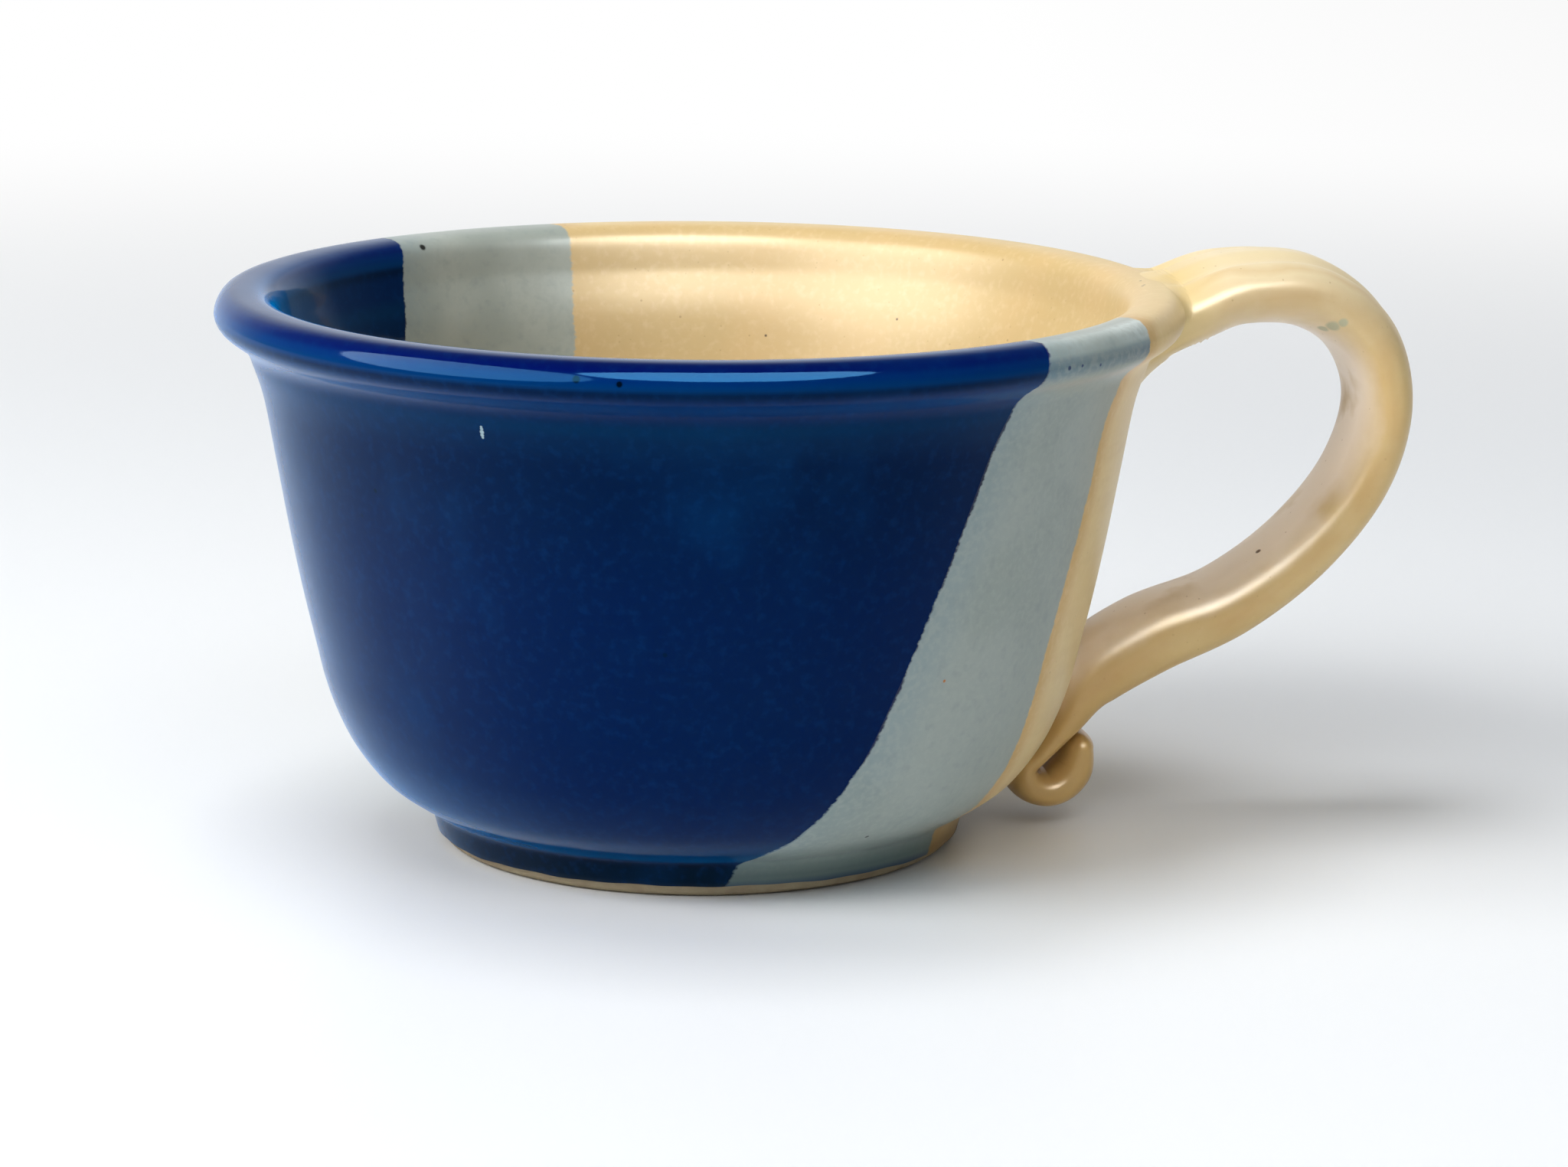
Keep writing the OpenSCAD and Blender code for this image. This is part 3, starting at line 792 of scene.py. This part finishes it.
class DippedGlaze(bpy.types.Operator):
    """The three coats of dipped glaze, which meet on their two slanted dip lines"""

    bl_idname = "mug.dipped_glaze"
    bl_label = "Dipped glaze"

    def execute(self, context):
        s = sizes()
        line = glazed_outline(s, OUTLINE_PITCH)
        half_1, half_2 = dip_angle(line, COBALT_DIP), dip_angle(line, CREAM_DIP)
        mid_1, mid_2 = math.radians(COBALT_DIP[0]), math.radians(CREAM_DIP[0])
        arcs = (
            ("cobalt_coat", "cobalt_glaze", cobalt_glaze,
             [(mid_1 + half_1, mid_1 + 2 * math.pi - half_1, COBALT_COLUMNS)]),
            ("grey_coat", "grey_glaze", grey_glaze,
             [(mid_2 + half_2, mid_1 + half_1, GREY_COLUMNS), (mid_1 - half_1, mid_2 - half_2, GREY_COLUMNS)]),
            ("cream_coat", "cream_glaze", cream_glaze, [(mid_2 - half_2, mid_2 + half_2, CREAM_COLUMNS)]),
        )
        for name, node, material, pieces in arcs:
            verts, faces, start = [], [], 0
            for low, high, count in pieces:
                share = np.linspace(0, 1, count + 1)[None, :]
                angles = low[:, None] * (1 - share) + high[:, None] * share
                points = ragged_end(revolved(line, angles), line, s.bare_h)
                verts.append(points.reshape(-1, 3))
                faces.append(grid_faces(len(line), count + 1) + start)
                start += points.shape[0] * points.shape[1]
            obj = new_object(name, np.vstack(verts), np.vstack(faces).tolist(), node, material(colours()))
            thicken(obj, s.glaze_t * COAT_SHARE, 0.004 * MM)
        return {"FINISHED"}


def strap_keys(s):
    """The strap's middle line with its width and thickness, in metres: (out, up, wide, thick)."""
    outline = glazed_outline(s, OUTLINE_PITCH / 2)
    outer = outline[:outline[:, 0].argmax() + 1]
    shoulder = s.rim_d / 2 - s.lip_out
    strap, tail, scroll = [np.array(t) for t in (STRAP_SHARES, TAIL_SHARES, SCROLL_SHARES)]
    scroll_x = np.interp(s.scroll_z, outer[:, 1], outer[:, 0]) + s.scroll_stand
    strap[:, 0] = shoulder + strap[:, 0] * s.handle_out
    tail[:, 0] = np.interp(tail[:, 1] * s.mug_h, outer[:, 1], outer[:, 0]) + tail[:, 0] * s.handle_out
    strap[:, 1], tail[:, 1] = strap[:, 1] * s.mug_h, tail[:, 1] * s.mug_h
    scroll[:, 0] = scroll_x + scroll[:, 0] * s.scroll_r
    scroll[:, 1] = s.scroll_z + scroll[:, 1] * s.scroll_r
    keys = np.vstack([strap, tail, scroll])
    keys[:, 2] *= s.strap_w
    keys[:, 3] *= s.strap_t
    return keys, outline


def emerging(points, outline):
    """Starts the strap on the mug's face. Each line along the strap begins where it comes out of
    the wall, and its first rows stand closer there, by the square of their number."""
    near = points[:ROOT_ROWS]
    outer = outline[:outline[:, 1].argmax() + 1]
    dist = mug_distance(near.reshape(-1, 3), outer)[0].reshape(near.shape[:2])
    cols = np.arange(near.shape[1])
    last = np.where((dist < 0).any(axis=0), ROOT_ROWS - 1 - (dist[::-1] < 0).argmax(axis=0), 0)
    last = np.minimum(last, ROOT_ROWS - 2)
    start = last + dist[last, cols] / (dist[last, cols] - dist[last + 1, cols])
    way = np.linspace(0, 1, ROOT_ROWS)[:, None] ** 2
    at = start + (ROOT_ROWS - 1 - start) * way
    low = np.minimum(at.astype(int), ROOT_ROWS - 2)
    part = (at - low)[..., None]
    points[:ROOT_ROWS] = near[low, cols] * (1 - part) + near[low + 1, cols] * part
    return points


def strap_surface(s, keys, outline, around):
    """The strap's surface, rows by around: a section carried along the middle line, square to
    it. The section is |across|^p + |up|^p = 1, less two grooves on its outer face, each
    (1 - ((|across| - place) / half)^2)^2 deep, which fade at the root and on the tail. The tip
    closes in a quarter of an oval."""
    back = keys[0] - (keys[1] - keys[0]) * (ROOT_BACK, ROOT_BACK, 0, 0)
    line = smooth(np.vstack([back, keys]), STRAP_STEPS)
    d = np.gradient(line[:, :2], axis=0)
    d /= np.linalg.norm(d, axis=1)[:, None]
    place = np.linspace(0, 1, len(line))
    t = np.linspace(0, 2 * math.pi, around, endpoint=False)
    across = np.sign(np.cos(t)) * np.abs(np.cos(t)) ** (2 / SECTION_POWER)
    up = np.sign(np.sin(t)) * np.abs(np.sin(t)) ** (2 / SECTION_POWER)
    groove = np.maximum(0, 1 - ((np.abs(across) - GROOVE_PLACE) / GROOVE_HALF) ** 2) ** 2 * (up > 0)
    left = np.clip(place / GROOVES_FROM, 0, 1) * np.clip((GROOVES_TO - place) / GROOVES_FADE, 0, 1)
    lift = up * line[:, 3:4] / 2 - s.groove_depth * left[:, None] * groove
    side = across * line[:, 2:3] / 2
    tip = np.sin(np.linspace(0, math.pi / 2, TIP_STEPS))[1:-1, None]
    shrink = np.sqrt(1 - tip**2)
    reach = tip * TIP_LENGTH * line[-1, 3]
    line = np.vstack([line, np.hstack([line[-1:, :2] + d[-1:] * reach, tip, tip])])
    d = np.vstack([d, np.repeat(d[-1:], len(tip), axis=0)])
    lift = np.vstack([lift, lift[-1:] * shrink])
    side = np.vstack([side, side[-1:] * (TIP_WIDTH + (1 - TIP_WIDTH) * shrink)])
    x = line[:, :1] - d[:, 1:] * lift
    z = line[:, 1:2] + d[:, :1] * lift
    points = emerging(np.stack([x, side, z], axis=-1), outline)
    # The root's fillet is narrow at the strap's sides and wider on its outer face, and under the
    # strap, most of all in the middle, the clay is smeared down the wall
    under = np.maximum(0, -up) ** 2 * (1 - 0.45 * across**2)
    radius = np.full(points.shape[:2], s.fillet)
    radius[:ROOT_ROWS] = 0.5 * s.fillet + 0.4 * s.fillet * np.maximum(0, up) + s.root_smear * under
    return filleted(points, outline, radius.ravel()), t / (2 * math.pi)


def filleted(points, outline, radius):
    """Widens the strap where it comes within a radius of the mug, along the mug's surface, by
    R (1 - sqrt(1 - (1 - d / R)^2)) for a distance d, which is the round of a fillet."""
    rows, cols = points.shape[:2]
    along = np.gradient(points, axis=0)
    around = (np.roll(points, -1, axis=1) - np.roll(points, 1, axis=1)) / 2
    normal = np.cross(around, along).reshape(-1, 3)
    normal /= np.maximum(np.linalg.norm(normal, axis=1), 1e-12)[:, None]
    middle = np.repeat(points.mean(axis=1), cols, axis=0)
    flat = points.reshape(-1, 3)
    normal *= np.where((normal * (flat - middle)).sum(axis=1) < 0, -1, 1)[:, None]
    dist, near, facing = mug_distance(flat, outline)
    w = np.clip(1 - np.maximum(dist, 0) / radius, 0, 1)
    shift = radius * (1 - np.sqrt(np.maximum(1 - w**2, 0))) * np.clip(1 + dist / (FILLET_FADE * MM), 0, 1)
    aside = normal - (normal * facing).sum(axis=1)[:, None] * facing
    aside /= np.maximum(np.linalg.norm(aside, axis=1), 0.35)[:, None]
    moved = flat + aside * shift[:, None]
    _, near, facing = mug_distance(moved, outline)
    want = np.where(dist > 0, dist - FILLET_SETTLE * MM * w, dist)
    fixed = near + facing * want[:, None]
    use = (shift > FILLET_LEAST * MM) & (dist > -FILLET_DEPTH * MM)
    moved[use] = fixed[use]
    buried = near[:cols] - facing[:cols] * ROOT_BURIED * MM
    return np.concatenate([buried[None], moved.reshape(rows, cols, 3)])


class PulledHandle(bpy.types.Operator):
    """The pulled strap: two grooves down its outer face, a pressed tail and a scroll"""

    bl_idname = "mug.pulled_handle"
    bl_label = "Pulled handle"

    def execute(self, context):
        s = sizes()
        keys, outline = strap_keys(s)
        around = STRAP_COLUMNS
        points, v = strap_surface(s, keys, outline, around)
        points[..., 2] = np.maximum(points[..., 2], s.glaze_t)
        rows = len(points)
        seam = np.concatenate([points, points[:, :1]], axis=1)
        along = np.linspace(0, 1, rows)
        uv = np.stack(np.broadcast_arrays(along[:, None], np.append(v, 1.0)[None, :]), axis=-1)
        faces = grid_faces(rows, around + 1).tolist()
        faces.append(list(range(around))[::-1])
        faces.append([(rows - 1) * (around + 1) + k for k in range(around)])
        obj = new_object("pulled_handle", seam.reshape(-1, 3), faces, "handle",
                         handle_glaze(colours()), uv.reshape(-1, 2))
        weld(obj, 0.001 * MM)
        return {"FINISHED"}


class HiddenSlip(bpy.types.Operator):
    """The slip that sticks the strap to the wall, carried over from the CAD model"""

    bl_idname = "mug.hidden_slip"
    bl_label = "Slip under the strap"

    def execute(self, context):
        clay = bare_clay(colours(), "buff slip, fired")
        for node in ("upper_slip", "lower_slip"):
            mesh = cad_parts[node].data
            mesh.materials.clear()
            mesh.materials.append(clay)
        return {"FINISHED"}


# Stage

# The image's width in pixels, the width of the camera's sensor in mm
IMAGE_PX = 2048
SENSOR_MM = 36.0
# The camera's azimuth in degrees, with its ways right and ahead, level with the table
VIEW_AZIMUTH = -10
VIEW_RIGHT = (0.985, -0.174, 0)
VIEW_AHEAD = (0.17, 0.98, 0)
# How far the lamps and cards stand off, and the height that they face, in metres
LAMP_DISTANCE = 1.2
LAMP_AIM = 0.05
# Lamps: azimuth, elevation, width and height in metres, power in watts, colour
LAMPS = (
    ("left_softbox", -60, 36, 0.7, 0.5, 12.0, (1.0, 0.985, 0.96)),
    ("front_softbox", 5, 50, 1.1, 0.5, 3.5, (1.0, 1.0, 1.0)),
    ("top_softbox", -100, 81, 0.5, 0.5, 6.4, (0.97, 0.98, 1.0)),
)
# Cards: azimuth, elevation, half width and half height in degrees, strength, colour
CARDS = (
    ("left_card", -61, 29, 35, 20, 15.0, (0.95, 0.98, 1.0)),
    ("front_card", 8, 48, 42, 15.5, 34.0, (0.95, 0.98, 1.0)),
)
# The sheet, in metres: half its width, its front edge, where it starts to rise, the radius of that
# bend and its top edge. It is a profile along the camera's way ahead
SHEET = (1, -1.2, 3, 0.7, 3)


def seen_rays(tree):
    """1 for the rays that a camera, a mirror or glass sends out, so that white stays white there."""
    path = add(tree, "ShaderNodeLightPath")
    rays = path.outputs["Is Camera Ray"]
    for kind in ("Is Glossy Ray", "Is Transmission Ray"):
        rays = add(tree, "ShaderNodeMath", [rays, path.outputs[kind]], operation="MAXIMUM")
    return rays


def floor_material(colours):
    """White laminate: near white, with a soft sheen that mirrors the mug's foot faintly. Away
    from the mug it fades to plain white, a little greyer on the right, as a lit sheet does."""
    material, tree, where = blank_material("white laminate sheet")
    shader = add(tree, "ShaderNodeBsdfPrincipled", {"Base Color": colours.floor, "Roughness": 0.45, "IOR": 1.3})
    far = add(tree, "ShaderNodeVectorMath", [where], operation="LENGTH")
    share = add(tree, "ShaderNodeMapRange", {"Value": far, "From Min": 0.25, "From Max": 0.8},
                interpolation_type="SMOOTHSTEP")
    share = add(tree, "ShaderNodeMath", [share, seen_rays(tree)], operation="MULTIPLY")
    aside = add(tree, "ShaderNodeVectorMath", [where, VIEW_RIGHT], operation="DOT_PRODUCT")
    level = add(tree, "ShaderNodeMapRange", {
        "Value": aside, "From Min": 0.1, "From Max": 0.7, "To Min": 1.0, "To Max": 0.85})
    white = add(tree, "ShaderNodeEmission", {"Color": (1, 1, 1), "Strength": level})
    both = add(tree, "ShaderNodeMixShader", [share, shader, white])
    add(tree, "ShaderNodeOutputMaterial", [both])
    return material


def facing_mug(azimuth, elevation, distance):
    """The place of a thing that faces the mug, as a matrix, whose -Z looks at the mug. Azimuth 0
    is behind the camera, and 90 is to its right."""
    a, e = math.radians(azimuth + VIEW_AZIMUTH), math.radians(elevation)
    away = Vector((math.sin(a) * math.cos(e), -math.cos(a) * math.cos(e), math.sin(e)))
    turn = (-away).to_track_quat("-Z", "Y").to_matrix().to_4x4()
    return Matrix.Translation(Vector((0, 0, LAMP_AIM)) + away * distance) @ turn


def softbox(name, azimuth, elevation, wide, high, power, colour):
    """A rectangular lamp with a soft edge, which lights the mug and the sheet but isn't itself
    mirrored: the glaze mirrors its bright front, the card of the same name."""
    light = bpy.data.lights.new(name, "AREA")
    light.shape, light.size, light.size_y = "RECTANGLE", wide, high
    light.energy, light.color = power, colour
    lamp = bpy.data.objects.new(name, light)
    lamp.matrix_world = facing_mug(azimuth, elevation, LAMP_DISTANCE)
    lamp.visible_glossy = False
    bpy.context.scene.collection.objects.link(lamp)


def mirror_card(name, azimuth, elevation, half_wide, half_high, strength, colour):
    """The bright front of a softbox, an oval on a sphere round the mug: azimuth + half_wide cos(t),
    elevation + half_high sin(t). Only the glaze's reflections see it, so it lights nothing."""
    rings, columns = 12, 64
    t = np.linspace(0, 2 * math.pi, columns, endpoint=False)[None, :]
    size = np.linspace(0.02, 1, rings)[:, None]
    az = np.radians(azimuth + VIEW_AZIMUTH + half_wide * size * np.cos(t))
    el = np.radians(elevation + half_high * size * np.sin(t))
    points = LAMP_DISTANCE * np.stack(np.broadcast_arrays(
        np.sin(az) * np.cos(el), -np.cos(az) * np.cos(el), np.sin(el)), axis=-1) + (0, 0, LAMP_AIM)
    mesh = bpy.data.meshes.new(name)
    mesh.from_pydata(points.reshape(-1, 3), [], grid_faces(rings, columns, closed=True).tolist())
    material, tree, _ = blank_material(name)
    glow = add(tree, "ShaderNodeEmission", {"Color": colour, "Strength": strength})
    add(tree, "ShaderNodeOutputMaterial", [glow])
    mesh.materials.append(material)
    card = bpy.data.objects.new(name, mesh)
    for kind in ("camera", "diffuse", "transmission", "volume_scatter", "shadow"):
        setattr(card, "visible_" + kind, False)
    bpy.context.scene.collection.objects.link(card)


def camera_at(distance, elevation, azimuth, target_z, pan, tilt, roll, focal_px):
    """The camera of the photograph: it looks from an azimuth and an elevation at a point on the
    mug's axis, then pans, tilts and rolls by fractions of a degree."""
    a, e = math.radians(azimuth), math.radians(elevation)
    back = np.array([math.sin(a) * math.cos(e), -math.cos(a) * math.cos(e), math.sin(e)])
    spot = np.array([0, 0, target_z]) + distance * back
    right = np.array([math.cos(a), math.sin(a), 0])
    axes = np.stack([right, np.cross(right, -back), -back])
    y, p, r = (math.radians(v) for v in (pan, tilt, roll))
    turn_y = np.array([[math.cos(y), 0, -math.sin(y)], [0, 1, 0], [math.sin(y), 0, math.cos(y)]])
    turn_p = np.array([[1, 0, 0], [0, math.cos(p), -math.sin(p)], [0, math.sin(p), math.cos(p)]])
    turn_r = np.array([[math.cos(r), -math.sin(r), 0], [math.sin(r), math.cos(r), 0], [0, 0, 1]])
    axes = turn_r @ turn_p @ turn_y @ axes
    data = bpy.data.cameras.new("photo_camera")
    data.sensor_fit, data.sensor_width, data.lens = "HORIZONTAL", SENSOR_MM, focal_px / IMAGE_PX * SENSOR_MM
    data.clip_start, data.clip_end = 0.05, 20
    camera = bpy.data.objects.new("photo_camera", data)
    place = Matrix.Identity(4)
    for row in range(3):
        place[row][0], place[row][1], place[row][2], place[row][3] = (
            axes[0][row], axes[1][row], -axes[2][row], spot[row])
    camera.matrix_world = place
    bpy.context.scene.collection.objects.link(camera)
    bpy.context.scene.camera = camera


class Studio(bpy.types.Operator):
    """The pale sheet under and behind the mug, the soft lights and the camera"""

    bl_idname = "mug.studio"
    bl_label = "Studio"

    def execute(self, context):
        scene = context.scene
        scene.view_settings.view_transform = "Standard"
        half_wide, front, back, bend, top = SHEET
        t = np.linspace(0, math.pi / 2, 24)[1:]
        x = np.linspace(-half_wide, half_wide, 3)
        y = np.concatenate([[front, back], back + bend * np.sin(t), [back + bend]])
        z = np.concatenate([[0, 0], bend * (1 - np.cos(t)), [top]])
        points = np.stack(np.broadcast_arrays(x[None, :], y[:, None], z[:, None]), axis=-1)
        a = math.radians(VIEW_AZIMUTH)
        turn = np.array([[math.cos(a), -math.sin(a), 0], [math.sin(a), math.cos(a), 0], [0, 0, 1]])
        mesh = bpy.data.meshes.new("white_sheet")
        mesh.from_pydata((points.reshape(-1, 3) @ turn.T).tolist(), [], grid_faces(len(y), 3).tolist())
        mesh.materials.append(floor_material(colours()))
        mesh.shade_smooth()
        sheet = bpy.data.objects.new("white_sheet", mesh)
        scene.collection.objects.link(sheet)

        world = bpy.data.worlds.new("white room")
        scene.world = world
        world.use_nodes = True
        tree = world.node_tree
        tree.nodes.clear()
        light = add(tree, "ShaderNodeBackground", {"Color": (0.96, 0.98, 1.0), "Strength": 0.2})
        way = add(tree, "ShaderNodeTexCoord").outputs["Generated"]
        behind = add(tree, "ShaderNodeVectorMath", [way, VIEW_AHEAD], operation="DOT_PRODUCT")
        room = add(tree, "ShaderNodeMapRange", {
            "Value": behind, "From Min": 0.55, "From Max": 0.85, "To Min": 0.25})
        camera = add(tree, "ShaderNodeLightPath").outputs["Is Camera Ray"]
        white = add(tree, "ShaderNodeMath", [room, camera], operation="MAXIMUM")
        seen = add(tree, "ShaderNodeBackground", {"Color": (1, 1, 1), "Strength": white})
        both = add(tree, "ShaderNodeMixShader", [seen_rays(tree), light, seen])
        add(tree, "ShaderNodeOutputWorld", [both])

        for lamp in LAMPS:
            softbox(*lamp)
        for card in CARDS:
            mirror_card(*card)
        camera_at(distance=0.69549, elevation=11.5548, azimuth=VIEW_AZIMUTH, target_z=0.04,
                  pan=0.9519, tilt=-0.4358, roll=-0.3343, focal_px=6700.6)
        return {"FINISHED"}


class MugPanel(bpy.types.Panel):
    """Sizes, colours and steps of the mug"""

    bl_idname = "MUG_PT_maker"
    bl_label = "Dipped stoneware mug"
    bl_space_type = "VIEW_3D"
    bl_region_type = "UI"
    bl_category = "Mug"

    def draw(self, context):
        for group in (context.scene.mug_sizes, context.scene.mug_colours):
            box = self.layout.box()
            for key in group.__annotations__:
                box.prop(group, key)
        for step in STEPS:
            self.layout.operator(step.bl_idname)


STEPS = (ClayBowl, DippedGlaze, PulledHandle, HiddenSlip, Studio)
CLASSES = (MugSizes, MugColours, *STEPS, MugPanel)


def register():
    for item in CLASSES:
        bpy.utils.register_class(item)
    bpy.types.Scene.mug_sizes = PointerProperty(type=MugSizes)
    bpy.types.Scene.mug_colours = PointerProperty(type=MugColours)


def unregister():
    del bpy.types.Scene.mug_colours
    del bpy.types.Scene.mug_sizes
    for item in reversed(CLASSES):
        bpy.utils.unregister_class(item)


def main():
    """Registers the add-on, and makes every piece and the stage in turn."""
    register()
    for step in STEPS:
        group, name = step.bl_idname.split(".")
        getattr(getattr(bpy.ops, group), name)()


if __name__ == "__main__":
    main()
